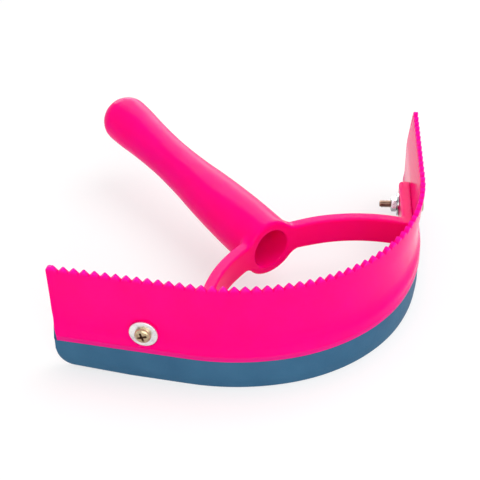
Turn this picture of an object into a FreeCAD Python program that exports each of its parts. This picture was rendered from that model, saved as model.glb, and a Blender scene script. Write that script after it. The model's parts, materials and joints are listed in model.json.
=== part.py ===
import FreeCAD
import Part
import Sketcher
import math
import os

# Horse sweat scraper: a bowed, toothed plastic blade with a rubber wiping strip along its
# other edge, bolted through both flanks to the arms of a hollow moulded handle.
#
# Frame: millimetres, +Z up. The wiping edge lies on Z = 0 and its middle is the origin.
# X = 0 is the plane of symmetry. The blade bows towards +Y, the side of the handle.

doc = FreeCAD.newDocument("sweat_scraper")
sheet = doc.addObject("Spreadsheet::Sheet", "sizes")

SIZES = (
    # Plan of the wiping edge, from the middle outwards: arc, flatter arc, straight flank.
    ("centre_radius", 87.5),
    ("centre_angle", 24.5),
    ("shoulder_radius", 106.0),
    ("shoulder_angle", 25.0),
    ("flank_length", 66.4),
    # Blade section. Heights start at the lower edge of its front wall.
    ("rubber_showing", 16.1),
    ("blade_height", 43.4),
    ("plate_thickness", 3.1),
    ("plate_setback", 3.2),
    ("edge_thickness", 2.5),
    ("plate_lean", 1.6),
    ("lean_start_height", 23.0),
    ("waist_height", 15.4),
    ("crest_height", 6.0),
    ("crest_swell", 2.0),
    ("crest_share", 0.4),
    ("lip_height", 2.8),
    ("lip_step", 0.2),
    ("wall_edge_radius", 0.5),
    ("back_wall_thickness", 2.7),
    ("back_wall_drop", 2.6),
    ("back_wall_slant", 4.2),
    ("slot_depth", 8.4),
    # Toothed upper edge.
    ("tooth_pitch", 5.0),
    ("tooth_depth", 2.5),
    ("tooth_tip_flat", 0.5),
    ("tooth_tip_ease", 0.35),
    ("middle_notch_shift", 0.5),
    ("blade_corner_radius", 2.4),
    ("end_taper", 2.3),
    ("end_taper_height", 16.9),
    # Rubber strip.
    ("rubber_thickness", 2.5),
    ("tongue_thickness", 1.2),
    ("rubber_fit", 0.1),
    ("rubber_bevel_height", 4.8),
    ("rubber_bevel_depth", 0.5),
    ("rubber_end_setback", 0.6),
    ("rubber_corner_radius", 9.0),
    ("rubber_end_rise", 1.3),
    ("rubber_rise_length", 37.0),
    # Yoke: two arms on one arc, each ending in a lug that lies along a flank.
    ("yoke_height", 29.3),
    ("arm_radius", 76.0),
    ("arm_overrun", 6.5),
    ("arm_thickness", 6.0),
    ("arm_width", 14.4),
    ("arm_edge_radius", 1.1),
    ("lug_thickness", 5.7),
    ("lug_from_end", 35.8),
    ("lug_length", 37.3),
    ("lug_fit", 0.1),
    # Handle, along its own axis from the mouth.
    ("handle_height", 28.4),
    ("handle_tilt", 5.7),
    ("mouth_radius", 15.1),
    ("mouth_edge_radius", 1.6),
    ("mouth_straight", 16.0),
    ("waist_radius", 11.35),
    ("waist_distance", 91.0),
    ("bulb_radius", 13.5),
    ("fall_share", 0.6),
    ("rise_share", 0.68),
    ("handle_end_radius", 11.5),
    ("handle_length", 145.2),
    ("bore_radius", 10.35),
    ("bore_straight", 14.0),
    ("bore_end_radius", 9.0),
    ("bore_end_wall", 4.5),
    # Fasteners: M4 pan-head screw, two wide washers and a hexagon nut on each flank.
    ("bolt_from_end", 45.2),
    ("bolt_drop", 1.6),
    ("bolt_hole_radius", 2.25),
    ("screw_radius", 2.0),
    ("screw_length", 21.0),
    ("screw_tip_chamfer", 0.5),
    ("head_radius", 4.0),
    ("head_height", 2.4),
    ("head_side_height", 0.9),
    ("head_flat_radius", 2.2),
    ("crown_radius", 2.4),
    ("recess_width", 1.1),
    ("recess_span", 4.6),
    ("recess_depth", 1.5),
    ("washer_hole_radius", 2.15),
    ("washer_thickness", 1.0),
    ("outer_washer_radius", 6.95),
    ("inner_washer_radius", 6.1),
    ("seat_margin", 0.3),
    ("seat_rise", 1.0),
    ("nut_across_flats", 7.0),
    ("nut_thickness", 3.2),
    ("nut_chamfer", 0.45),
    ("nut_chamfer_rise", 0.7),
    ("nut_fit", 0.05),
)


def fill_sheet():
    """Write every driving dimension into the sheet under its alias."""
    for row, (alias, value) in enumerate(SIZES, start=1):
        sheet.set("A%d" % row, alias)
        sheet.set("B%d" % row, str(value))
        sheet.setAlias("B%d" % row, alias)
    doc.recompute()


class Term:
    """A number kept together with the sheet formula that gives it."""

    def __init__(self, number, formula):
        self.number = number
        self.formula = formula

    def __add__(self, other):
        other = term(other)
        return Term(self.number + other.number, "(%s + %s)" % (self.formula, other.formula))

    def __sub__(self, other):
        other = term(other)
        return Term(self.number - other.number, "(%s - %s)" % (self.formula, other.formula))

    def __mul__(self, other):
        other = term(other)
        return Term(self.number * other.number, "(%s * %s)" % (self.formula, other.formula))

    def __truediv__(self, other):
        other = term(other)
        return Term(self.number / other.number, "(%s / %s)" % (self.formula, other.formula))

    def __neg__(self):
        return Term(-self.number, "(0 - %s)" % self.formula)


def term(value):
    """Give a plain number the same form as a size from the sheet."""
    if isinstance(value, Term):
        return value
    return Term(float(value), repr(float(value)))


def size(alias):
    """Read a driving dimension."""
    return Term(float(sheet.get(alias)), "sizes.%s" % alias)


def sine(angle):
    return Term(math.sin(math.radians(angle.number)), "sin(%s)" % angle.formula)


def cosine(angle):
    return Term(math.cos(math.radians(angle.number)), "cos(%s)" % angle.formula)


def arcsine(ratio):
    """Angle whose sine is ratio, in degrees."""
    return Term(math.degrees(math.asin(ratio.number)), "(asin(%s) / 1 deg)" % ratio.formula)


def root(value):
    return Term(math.sqrt(value.number), "sqrt(%s)" % value.formula)


def double_arctangent(ratio):
    """Twice the angle whose tangent is ratio, in degrees."""
    angle = 2 * math.degrees(math.atan(ratio.number))
    return Term(angle, "(2 * atan(%s))" % ratio.formula)


def bind(thing, name, value):
    """Tie a property to the sheet."""
    value = term(value)
    thing.setExpression(name, value.formula)


def make_body(name):
    return doc.addObject("PartDesign::Body", name)


def origin_plane(body, role):
    for feature in body.Origin.OriginFeatures:
        if feature.Role == role:
            return feature
    raise ValueError(role)


def make_sketch(body, name, role):
    """Start a sketch on one of the body's own origin planes."""
    sketch = body.newObject("Sketcher::SketchObject", name)
    sketch.AttachmentSupport = [(origin_plane(body, role), "")]
    sketch.MapMode = "FlatFace"
    return sketch


def arc_between(start, finish, radius, turn):
    """Shorter arc between two points. turn is 1 to bend left on the way and -1 to bend right."""
    chord = finish - start
    middle = (start + finish) * 0.5
    rise = math.sqrt(radius * radius - (chord.Length / 2) ** 2)
    left = FreeCAD.Vector(-chord.y, chord.x, 0).normalize()
    centre = middle + left * (turn * rise)
    first, last = (start, finish) if turn > 0 else (finish, start)
    first_angle = math.atan2(first.y - centre.y, first.x - centre.x)
    last_angle = math.atan2(last.y - centre.y, last.x - centre.x)
    circle = Part.Circle(centre, FreeCAD.Vector(0, 0, 1), radius)
    return Part.ArcOfCircle(circle, first_angle, last_angle)


def pin_point(sketch, edge, end, across, up):
    """Fix one end of an edge at its distances from the sketch's origin."""
    for kind, value in (("DistanceX", across), ("DistanceY", up)):
        constraint = Sketcher.Constraint(kind, -1, 1, edge, end, value.number)
        index = sketch.addConstraint(constraint)
        bind(sketch, "Constraints[%d]" % index, value)


def set_radius(sketch, edge, radius):
    index = sketch.addConstraint(Sketcher.Constraint("Radius", edge, radius.number))
    bind(sketch, "Constraints[%d]" % index, radius)


def draw_outline(sketch, corners, closed=True):
    """Draw a chain of edges.

    Each corner is (across, up) and leads on by a straight edge, or it is
    (across, up, radius, turn) and leads on by an arc.
    """
    starts = []
    finishes = []
    steps = len(corners) if closed else len(corners) - 1
    for step in range(steps):
        corner = corners[step]
        following = corners[(step + 1) % len(corners)]
        start = FreeCAD.Vector(corner[0].number, corner[1].number, 0)
        finish = FreeCAD.Vector(following[0].number, following[1].number, 0)
        if len(corner) == 2:
            edge = sketch.addGeometry(Part.LineSegment(start, finish))
            ends = (1, 2)
        else:
            edge = sketch.addGeometry(arc_between(start, finish, corner[2].number, corner[3]))
            ends = (1, 2) if corner[3] > 0 else (2, 1)
            set_radius(sketch, edge, corner[2])
        pin_point(sketch, edge, ends[0], corner[0], corner[1])
        starts.append((edge, ends[0]))
        finishes.append((edge, ends[1]))
    for step in range(steps if closed else steps - 1):
        following = starts[(step + 1) % len(starts)]
        sketch.addConstraint(Sketcher.Constraint("Coincident", *finishes[step], *following))
    if not closed:
        pin_point(sketch, *finishes[-1], corners[-1][0], corners[-1][1])


def s_curve(start, finish, share):
    """Two tangent arcs between parallel stretches.

    start and finish are (along, off). share is how much of the way the first arc
    takes. Returns the point where the arcs meet and their radii.
    """
    run = finish[0] - start[0]
    step = finish[1] - start[1]
    steepness = step / run if step.number / run.number > 0 else -(step / run)
    reach = run / sine(double_arctangent(steepness))
    if reach.number < 0:
        reach = -reach
    meeting = (start[0] + run * share, start[1] + step * share)
    return meeting, reach * share, reach * (term(1) - share)


def revolve(body, sketch, axis):
    feature = body.newObject("PartDesign::Revolution", sketch.Name + "_turned")
    feature.Profile = sketch
    feature.ReferenceAxis = (sketch, [axis])
    feature.Angle = 360
    return feature


def place_code_shape(name, shape):
    """Add a shape that is worked out directly from the sizes."""
    feature = doc.addObject("Part::Feature", name)
    feature.Shape = shape
    return feature


def cut(name, base, tool):
    feature = doc.addObject("Part::Cut", name)
    feature.Base = base
    feature.Tool = tool
    feature.Refine = False
    return feature


def fuse(name, pieces):
    feature = doc.addObject("Part::MultiFuse", name)
    feature.Shapes = pieces
    feature.Refine = True
    return feature


fill_sheet()

# ---- Plan of the blade ------------------------------------------------------------------

flank_angle = size("centre_angle") + size("shoulder_angle")
shoulder_x = size("centre_radius") * sine(size("centre_angle"))
shoulder_y = size("centre_radius") * (term(1) - cosine(size("centre_angle")))
flank_x = shoulder_x + size("shoulder_radius") * (sine(flank_angle) - sine(size("centre_angle")))
flank_y = shoulder_y + size("shoulder_radius") * (cosine(size("centre_angle")) - cosine(flank_angle))
end_x = flank_x + size("flank_length") * cosine(flank_angle)
end_y = flank_y + size("flank_length") * sine(flank_angle)


def draw_plan(body):
    """Half of the wiping edge's line, from the middle to the end of a flank."""
    sketch = make_sketch(body, body.Name + "_plan", "XY_Plane")
    corners = (
        (term(0), term(0), size("centre_radius"), 1),
        (shoulder_x, shoulder_y, size("shoulder_radius"), 1),
        (flank_x, flank_y),
        (end_x, end_y),
    )
    draw_outline(sketch, corners, closed=False)
    return sketch


def sweep_both_ways(body, section):
    """Carry a section along the plan and mirror it onto the other half."""
    plan = draw_plan(body)
    half = body.newObject("PartDesign::AdditivePipe", body.Name + "_half")
    half.Profile = section
    half.Spine = plan
    doc.recompute()
    both = body.newObject("PartDesign::Mirrored", body.Name + "_both")
    both.Originals = [half]
    both.MirrorPlane = (origin_plane(body, "YZ_Plane"), [""])
    body.Tip = both


def half_length():
    """Length of the wiping edge's line from its middle to its end."""
    middle = math.radians(size("centre_angle").number) * size("centre_radius").number
    shoulder = math.radians(size("shoulder_angle").number) * size("shoulder_radius").number
    return middle + shoulder + size("flank_length").number


def on_plan(station):
    """Placement at a distance along the line: X runs along it and Y points inwards."""
    reach = abs(station)
    middle = math.radians(size("centre_angle").number) * size("centre_radius").number
    shoulder = math.radians(size("shoulder_angle").number) * size("shoulder_radius").number
    if reach < middle:
        radius = size("centre_radius").number
        angle = reach / radius
        spot = FreeCAD.Vector(radius * math.sin(angle), radius * (1 - math.cos(angle)), 0)
    elif reach < middle + shoulder:
        radius = size("shoulder_radius").number
        start_angle = math.radians(size("centre_angle").number)
        angle = start_angle + (reach - middle) / radius
        across = radius * (math.sin(angle) - math.sin(start_angle))
        inwards = radius * (math.cos(start_angle) - math.cos(angle))
        spot = FreeCAD.Vector(shoulder_x.number + across, shoulder_y.number + inwards, 0)
    else:
        rest = reach - middle - shoulder
        angle = math.radians(flank_angle.number)
        spot = FreeCAD.Vector(flank_x.number, flank_y.number, 0)
        spot += FreeCAD.Vector(math.cos(angle), math.sin(angle), 0) * rest
    side = 1 if station >= 0 else -1
    turn = FreeCAD.Rotation(FreeCAD.Vector(0, 0, 1), side * math.degrees(angle))
    return FreeCAD.Placement(FreeCAD.Vector(side * spot.x, spot.y, 0), turn)


# ---- Blade ------------------------------------------------------------------------------

wall_foot = size("rubber_showing")
tip_level = wall_foot + size("blade_height")
plate_back = size("plate_setback")
plate_front = plate_back - size("plate_thickness")
plate_middle = (plate_back + plate_front) / 2
tip_front = plate_front - size("plate_lean")
strip_back = (size("rubber_thickness") - size("rubber_bevel_depth")) / 2
strip_front = strip_back - size("rubber_thickness")
tongue_front = strip_back - size("tongue_thickness")
slot_back = strip_back + size("rubber_fit")
slot_front = tongue_front - size("rubber_fit")
slot_top = wall_foot + size("slot_depth")
through = size("plate_thickness") * 2 + size("back_wall_thickness") + size("crest_swell")


def blade_section(body):
    """Upright section of the blade: Y inwards, Z up, slot for the rubber below."""
    waist = (wall_foot + size("waist_height"), plate_front)
    crest = (wall_foot + size("crest_height"), plate_front - size("crest_swell"))
    swell_share = term(1) - size("crest_share")
    meeting, hollow_radius, crest_radius = s_curve(waist, crest, swell_share)
    lip_front = crest[1] + size("lip_step") / 4
    above_lip = lip_front + size("lip_step")
    edge = size("wall_edge_radius")
    back_foot = wall_foot - size("back_wall_drop")
    back_front = slot_back + size("back_wall_thickness")
    sketch = make_sketch(body, "blade_section", "YZ_Plane")
    lean_start = wall_foot + size("lean_start_height")
    corners = (
        (tip_front, tip_level),
        (plate_front, lean_start),
        (waist[1], waist[0], hollow_radius, -1),
        (meeting[1], meeting[0], crest_radius, 1),
        (crest[1], crest[0]),
        (above_lip, wall_foot + size("lip_height") + size("lip_step")),
        (lip_front, wall_foot + size("lip_height")),
        (lip_front, wall_foot + edge, edge, 1),
        (lip_front + edge, wall_foot),
        (slot_front, wall_foot),
        (slot_front, slot_top),
        (slot_back, slot_top),
        (slot_back, back_foot),
        (back_front - edge, back_foot, edge, 1),
        (back_front, back_foot + edge),
        (back_front, wall_foot),
        (plate_back, wall_foot + size("back_wall_slant")),
        (plate_back, lean_start),
        (tip_front + size("edge_thickness"), tip_level),
    )
    draw_outline(sketch, corners)
    return sketch


def side_prism(outline, station):
    """Solid cut straight through the blade's thickness.

    outline is a list of (along, height) points, with along measured from the
    station away from the middle of the blade.
    """
    side = 1 if station >= 0 else -1
    front = -through.number
    points = [FreeCAD.Vector(side * along, front, height) for along, height in outline]
    face = Part.Face(Part.makePolygon(points + points[:1]))
    prism = face.extrude(FreeCAD.Vector(0, 2 * through.number, 0))
    prism.Placement = on_plan(station)
    return prism


def notch(station):
    """One V between two teeth, easing off at the tips."""
    top = tip_level.number
    half = (size("tooth_pitch").number - size("tooth_tip_flat").number) / 2
    ease = size("tooth_tip_ease").number
    clear = top + size("tooth_depth").number
    outline = (
        (0, top - size("tooth_depth").number),
        (half - ease, top - ease / 2),
        (half, top),
        (half, clear),
        (-half, clear),
        (-half, top),
        (ease - half, top - ease / 2),
    )
    return side_prism(outline, station)


def all_notches():
    """Notches at one pitch along the whole edge, leaving a tooth at each end."""
    pitch = size("tooth_pitch").number
    shift = size("middle_notch_shift").number
    reach = half_length() - size("tooth_tip_flat").number - pitch / 2
    notches = []
    for number in range(-int((reach + shift) / pitch), int((reach - shift) / pitch) + 1):
        notches.append(notch(number * pitch + shift))
    return notches


def corner_prism(station, radius, level, upwards):
    """What rounding takes off an end corner whose point is at the given level."""
    side = 1 if station >= 0 else -1
    sign = 1 if upwards else -1
    front = -through.number
    past = size("plate_thickness").number
    inner = FreeCAD.Vector(-side * radius, front, level)
    outer = FreeCAD.Vector(0, front, level - sign * radius)
    slant = radius * math.sqrt(0.5)
    bulge = FreeCAD.Vector(side * (slant - radius), front, level + sign * (slant - radius))
    outer_clear = outer + FreeCAD.Vector(side * past, 0, 0)
    corner_clear = FreeCAD.Vector(side * past, front, level + sign * past)
    inner_clear = inner + FreeCAD.Vector(0, 0, sign * past)
    edges = [
        Part.Arc(inner, bulge, outer).toShape(),
        Part.makeLine(outer, outer_clear),
        Part.makeLine(outer_clear, corner_clear),
        Part.makeLine(corner_clear, inner_clear),
        Part.makeLine(inner_clear, inner),
    ]
    prism = Part.Face(Part.Wire(edges)).extrude(FreeCAD.Vector(0, 2 * through.number, 0))
    prism.Placement = on_plan(station)
    return prism


def end_taper_prism(station):
    """Wedge that draws the end of the blade in towards its foot."""
    height = size("end_taper_height").number + size("back_wall_drop").number
    top = wall_foot.number + size("end_taper_height").number
    past = size("plate_thickness").number
    slope = size("end_taper").number / height
    outline = (
        (0, top),
        (-slope * (height + past), top - height - past),
        (past, top - height - past),
        (past, top),
    )
    return side_prism(outline, station)


def flank_cylinder(name, side, radius, start, length):
    """Cylinder across a flank at the bolt. start is how far inwards of the line it begins."""
    feature = doc.addObject("Part::Cylinder", name)
    bind(feature, "Radius", radius)
    bind(feature, "Height", length)
    frame = on_plan(side * (half_length() - size("bolt_from_end").number))
    spot = frame.multVec(FreeCAD.Vector(0, start.number, bolt_height.number))
    across = FreeCAD.Rotation(FreeCAD.Vector(1, 0, 0), -90)
    feature.Placement = FreeCAD.Placement(spot, frame.Rotation.multiply(across))
    return feature


SIDES = (("right", 1), ("left", -1))
seat_face = plate_front - size("seat_rise")
seat_radius = size("outer_washer_radius") + size("seat_margin")
boss_radius = size("outer_washer_radius") + size("seat_margin") / 2


def bolt_holes(piece):
    """Clearance holes for both screws, through whatever stands in their way."""
    reach = through + size("lug_thickness")
    holes = []
    for side_name, side in SIDES:
        name = "%s_hole_%s" % (piece, side_name)
        holes.append(flank_cylinder(name, side, size("bolt_hole_radius"), -reach, reach * 2))
    return holes


def swept_room(name, front, behind, top):
    """Space along the whole plan, from the wiping edge's level up, for cutting."""
    body = make_body(name)
    sketch = make_sketch(body, name + "_section", "YZ_Plane")
    draw_outline(sketch, ((front, term(0)), (behind, term(0)), (behind, top), (front, top)))
    sweep_both_ways(body, sketch)
    return body


def make_blade():
    body = make_body("blade_swept")
    sweep_both_ways(body, blade_section(body))
    bosses = []
    recesses = []
    for side_name, side in SIDES:
        depth = plate_middle - seat_face
        bosses.append(flank_cylinder("seat_boss_" + side_name, side, boss_radius, seat_face, depth))
        start = seat_face - through
        recesses.append(flank_cylinder("seat_recess_" + side_name, side, seat_radius, start, through))
    with_bosses = fuse("blade_with_bosses", [body] + bosses)
    trims = all_notches()
    for side_name, side in SIDES:
        station = side * half_length()
        trims.append(corner_prism(station, size("blade_corner_radius").number, tip_level.number, True))
        trims.append(end_taper_prism(station))
    trim = place_code_shape("blade_trim", Part.makeCompound(trims))
    trimmed = cut("blade_trimmed", with_bosses, trim)
    slotted = cut("blade_slotted", trimmed, swept_room("slot_room", slot_front, slot_back, slot_top))
    seated = cut("blade_seated", slotted, fuse("blade_recesses", recesses))
    return cut("blade", seated, fuse("blade_holes", bolt_holes("blade")))


# ---- Rubber strip -----------------------------------------------------------------------


def make_rubber():
    body = make_body("rubber_swept")
    sketch = make_sketch(body, "rubber_section", "YZ_Plane")
    top = slot_top - size("rubber_fit")
    shoulder = wall_foot - size("rubber_fit")
    corners = (
        (tongue_front, top),
        (tongue_front, shoulder),
        (strip_front, shoulder),
        (strip_front, size("rubber_bevel_height")),
        (strip_front + size("rubber_bevel_depth"), term(0)),
        (strip_back, term(0)),
        (strip_back, top),
    )
    draw_outline(sketch, corners)
    sweep_both_ways(body, sketch)
    ends_off = []
    for side_name, side in SIDES:
        station = side * (half_length() - size("rubber_end_setback").number)
        ends_off.extend(rubber_end_prisms(station))
    trim = place_code_shape("rubber_trim", Part.makeCompound(ends_off))
    return cut("rubber_strip", body, trim)


def rubber_end_prisms(station):
    """What is off each end of the strip: its setback, a shallow rise below and a round corner."""
    radius = size("rubber_corner_radius").number
    rise = size("rubber_end_rise").number
    past = size("plate_thickness").number
    setback = ((0, -past), (past, -past), (past, slot_top.number + past), (0, slot_top.number + past))
    slope = (
        (-size("rubber_rise_length").number, 0),
        (-radius, rise),
        (past, rise),
        (past, -past),
        (-size("rubber_rise_length").number, -past),
    )
    return [
        side_prism(setback, station),
        side_prism(slope, station),
        corner_prism(station, radius, rise, False),
    ]


# ---- Yoke and handle --------------------------------------------------------------------

lug_far = size("flank_length") - size("lug_from_end")
lug_near = lug_far - size("lug_length")
lug_face = plate_back + size("lug_thickness")
bolt_height = size("yoke_height") - size("bolt_drop")

# Each arm's outer face meets the lug's outer face at the lug's near end.
root_depth = lug_face - size("arm_thickness") / 2
root_x = flank_x + lug_near * cosine(flank_angle) - root_depth * sine(flank_angle)
root_y = flank_y + lug_near * sine(flank_angle) + root_depth * cosine(flank_angle)
arm_centre_y = root_y - root(size("arm_radius") * size("arm_radius") - root_x * root_x)
arm_sweep = arcsine(root_x / size("arm_radius")) + size("arm_overrun")
arm_inside = size("arm_radius") - size("arm_thickness") / 2
arm_outside = arm_inside + size("arm_thickness")
mouth_y = arm_centre_y + arm_inside


def rounded_rectangle(low, high, radius):
    """Corners of an upright rectangle, with its sides in order and its corners round."""
    return (
        (low[0] + radius, low[1]),
        (high[0] - radius, low[1], radius, 1),
        (high[0], low[1] + radius),
        (high[0], high[1] - radius, radius, 1),
        (high[0] - radius, high[1]),
        (low[0] + radius, high[1], radius, 1),
        (low[0], high[1] - radius),
        (low[0], low[1] + radius, radius, 1),
    )


def make_arms():
    """Both arms as one bar of rounded section, turned about an upright axis."""
    body = make_body("arms")
    sketch = make_sketch(body, "arm_section", "YZ_Plane")
    half_width = size("arm_width") / 2
    low = (arm_inside, -half_width)
    high = (arm_outside, half_width)
    draw_outline(sketch, rounded_rectangle(low, high, size("arm_edge_radius")))
    bar = body.newObject("PartDesign::Revolution", "arm_bar")
    bar.Profile = sketch
    bar.ReferenceAxis = (sketch, ["V_Axis"])
    bar.Midplane = True
    bind(bar, "Angle", arm_sweep * 2)
    bind(body, "Placement.Base.y", arm_centre_y)
    bind(body, "Placement.Base.z", size("yoke_height"))
    return body


def make_lug():
    """Right lug: X along the flank, Y inwards, rounded on every edge away from the blade."""
    body = make_body("lug_right")
    sketch = make_sketch(body, "lug_outline", "XY_Plane")
    corners = ((lug_near, term(0)), (lug_far, term(0)), (lug_far, lug_face), (lug_near, lug_face))
    draw_outline(sketch, corners)
    pad = body.newObject("PartDesign::Pad", "lug_block")
    pad.Profile = sketch
    pad.Midplane = True
    bind(pad, "Length", size("arm_width"))
    doc.recompute()
    rounded = body.newObject("PartDesign::Fillet", "lug_rounded")
    rounded.Base = (pad, lug_edges(pad.Shape, lug_far.number, lug_face.number))
    bind(rounded, "Radius", size("arm_edge_radius"))
    bind(body, "Placement.Base.x", flank_x)
    bind(body, "Placement.Base.y", flank_y)
    bind(body, "Placement.Base.z", size("yoke_height"))
    body.Placement = FreeCAD.Placement(body.Placement.Base, on_plan(half_length()).Rotation)
    bind(body, "Placement.Rotation.Angle", flank_angle)
    return body


def lug_edges(shape, far, inside):
    """Names of the edges round the lug's outer face and its free end."""
    names = []
    for number, edge in enumerate(shape.Edges, start=1):
        box = edge.BoundBox
        on_outer_face = abs(box.YMin - inside) < 0.01
        on_free_end = abs(box.XMin - far) < 0.01
        touches_blade = box.YMin < 0.01 and box.YMax < 0.01
        if (on_outer_face or on_free_end) and not touches_blade:
            names.append("Edge%d" % number)
    return names


def mirrored_copy(name, source):
    feature = doc.addObject("Part::Mirroring", name)
    feature.Source = source
    feature.Normal = FreeCAD.Vector(1, 0, 0)
    return feature


def place_handle(body):
    """Stand a body that runs along +Y on the handle's axis, at the mouth."""
    tilt = FreeCAD.Rotation(FreeCAD.Vector(1, 0, 0), size("handle_tilt").number)
    body.Placement = FreeCAD.Placement(FreeCAD.Vector(0, 0, 0), tilt)
    bind(body, "Placement.Rotation.Angle", size("handle_tilt"))
    bind(body, "Placement.Base.y", mouth_y)
    bind(body, "Placement.Base.z", size("handle_height"))


def make_grip():
    """Outside of the handle: straight mouth, waist, bulb and domed end."""
    body = make_body("grip")
    sketch = make_sketch(body, "grip_outline", "XY_Plane")
    lead = -size("arm_thickness")
    start = (size("mouth_straight"), size("mouth_radius"))
    waist = (size("waist_distance"), size("waist_radius"))
    bulb = (size("handle_length") - size("handle_end_radius"), size("bulb_radius"))
    falling, shoulder_bend, hollow_bend = s_curve(start, waist, size("fall_share"))
    rising, swell_bend, bulb_bend = s_curve(waist, bulb, size("rise_share"))
    corners = (
        (term(0), lead),
        (size("mouth_radius"), lead),
        (start[1], start[0], shoulder_bend, 1),
        (falling[1], falling[0], hollow_bend, -1),
        (waist[1], waist[0], swell_bend, -1),
        (rising[1], rising[0], bulb_bend, 1),
        (bulb[1], bulb[0], size("handle_end_radius"), 1),
        (bulb[1] - size("handle_end_radius"), size("handle_length")),
        (term(0), size("handle_length")),
    )
    draw_outline(sketch, corners)
    revolve(body, sketch, "V_Axis")
    place_handle(body)
    return body


def make_bore():
    """Hollow of the handle, narrowing inwards as a moulding core does."""
    body = make_body("bore")
    sketch = make_sketch(body, "bore_outline", "XY_Plane")
    lead = -size("arm_thickness") * 2
    bottom = size("handle_length") - size("bore_end_wall")
    dome_start = bottom - size("bore_end_radius")
    corners = (
        (term(0), lead),
        (size("bore_radius"), lead),
        (size("bore_radius"), size("bore_straight")),
        (size("bore_end_radius"), dome_start, size("bore_end_radius"), 1),
        (term(0), bottom),
    )
    draw_outline(sketch, corners)
    revolve(body, sketch, "V_Axis")
    place_handle(body)
    return body


def make_mouth_trim():
    """Upright cylinder that leaves the mouth flush with the inner faces of the arms."""
    trim = doc.addObject("Part::Cylinder", "mouth_trim")
    bind(trim, "Radius", arm_inside)
    bind(trim, "Height", size("mouth_radius") * 4)
    bind(trim, "Placement.Base.y", arm_centre_y)
    bind(trim, "Placement.Base.z", size("handle_height") - size("mouth_radius") * 2)
    return trim


def round_mouth(grip):
    """Round the outer edge of the mouth, above and below the arms."""
    doc.recompute()
    axis = FreeCAD.Vector(0, arm_centre_y.number, 0)
    radius = size("mouth_edge_radius").number
    picked = []
    for number, edge in enumerate(grip.Shape.Edges, start=1):
        spots = edge.discretize(9)
        offs = [math.hypot(spot.x - axis.x, spot.y - axis.y) for spot in spots]
        if max(abs(off - arm_inside.number) for off in offs) < 0.01:
            picked.append((number, radius, radius))
    rounded = doc.addObject("Part::Fillet", "grip_rounded")
    rounded.Base = grip
    rounded.Edges = picked
    return rounded


def make_handle_yoke():
    lug = make_lug()
    grip = round_mouth(cut("grip_trimmed", make_grip(), make_mouth_trim()))
    solid = fuse("yoke_solid", [make_arms(), lug, mirrored_copy("lug_left", lug), grip])
    behind = plate_back + size("lug_fit")
    front = behind - size("arm_thickness") * 3
    blade_room = swept_room("blade_room", front, behind, tip_level)
    fitted = cut("yoke_fitted", solid, blade_room)
    hollowed = cut("yoke_hollowed", fitted, make_bore())
    return cut("handle_yoke", hollowed, fuse("yoke_holes", bolt_holes("yoke")))


# ---- Fasteners --------------------------------------------------------------------------

head_seat = seat_face - size("washer_thickness")
nut_seat = lug_face + size("washer_thickness")


def place_on_bolt(body, side, inwards):
    """Set a body that runs along +Y on a screw's axis, at a distance inwards of the line."""
    distance = size("flank_length") - size("bolt_from_end")
    across = flank_x + distance * cosine(flank_angle) - inwards * sine(flank_angle)
    along = flank_y + distance * sine(flank_angle) + inwards * cosine(flank_angle)
    turn = FreeCAD.Rotation(FreeCAD.Vector(0, 0, side), flank_angle.number)
    body.Placement = FreeCAD.Placement(FreeCAD.Vector(0, 0, 0), turn)
    bind(body, "Placement.Rotation.Angle", flank_angle)
    bind(body, "Placement.Base.x", across * side)
    bind(body, "Placement.Base.y", along)
    bind(body, "Placement.Base.z", bolt_height)


def make_screw(side_name, side):
    """Pan head outside the washer, cross recess, plain shank of the thread's outer size."""
    body = make_body(side_name + "_screw")
    sketch = make_sketch(body, side_name + "_screw_outline", "XY_Plane")
    top = -size("head_height")
    shoulder = -size("head_side_height")
    tip = size("screw_length")
    chamfer = size("screw_tip_chamfer")
    corners = (
        (term(0), top),
        (size("head_flat_radius"), top, size("crown_radius"), 1),
        (size("head_radius"), shoulder),
        (size("head_radius"), term(0)),
        (size("screw_radius"), term(0)),
        (size("screw_radius"), tip - chamfer),
        (size("screw_radius") - chamfer, tip),
        (term(0), tip),
    )
    draw_outline(sketch, corners)
    turned = revolve(body, sketch, "V_Axis")
    doc.recompute()
    cut_recess(body, side_name, turned)
    place_on_bolt(body, side, head_seat)
    return body


def cut_recess(body, side_name, turned):
    """Cross recess, sunk from the top of the head."""
    sketch = make_sketch(body, side_name + "_recess", "XZ_Plane")
    bind(sketch, "AttachmentOffset.Base.z", size("head_height"))
    arm = size("recess_span") / 2
    half = size("recess_width") / 2
    corners = (
        (half, half), (arm, half), (arm, -half), (half, -half),
        (half, -arm), (-half, -arm), (-half, -half), (-arm, -half),
        (-arm, half), (-half, half), (-half, arm), (half, arm),
    )
    draw_outline(sketch, corners)
    pocket = body.newObject("PartDesign::Pocket", side_name + "_recess_cut")
    pocket.Profile = sketch
    bind(pocket, "Length", size("recess_depth"))
    doc.recompute()
    if pocket.Shape.Volume > turned.Shape.Volume - 1:
        raise ValueError("the recess cut nothing")


def make_washer(name, side, radius, inwards):
    body = make_body(name)
    sketch = make_sketch(body, name + "_outline", "XY_Plane")
    hole = size("washer_hole_radius")
    thickness = size("washer_thickness")
    corners = ((hole, term(0)), (radius, term(0)), (radius, thickness), (hole, thickness))
    draw_outline(sketch, corners)
    revolve(body, sketch, "V_Axis")
    place_on_bolt(body, side, inwards)
    return body


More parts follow.
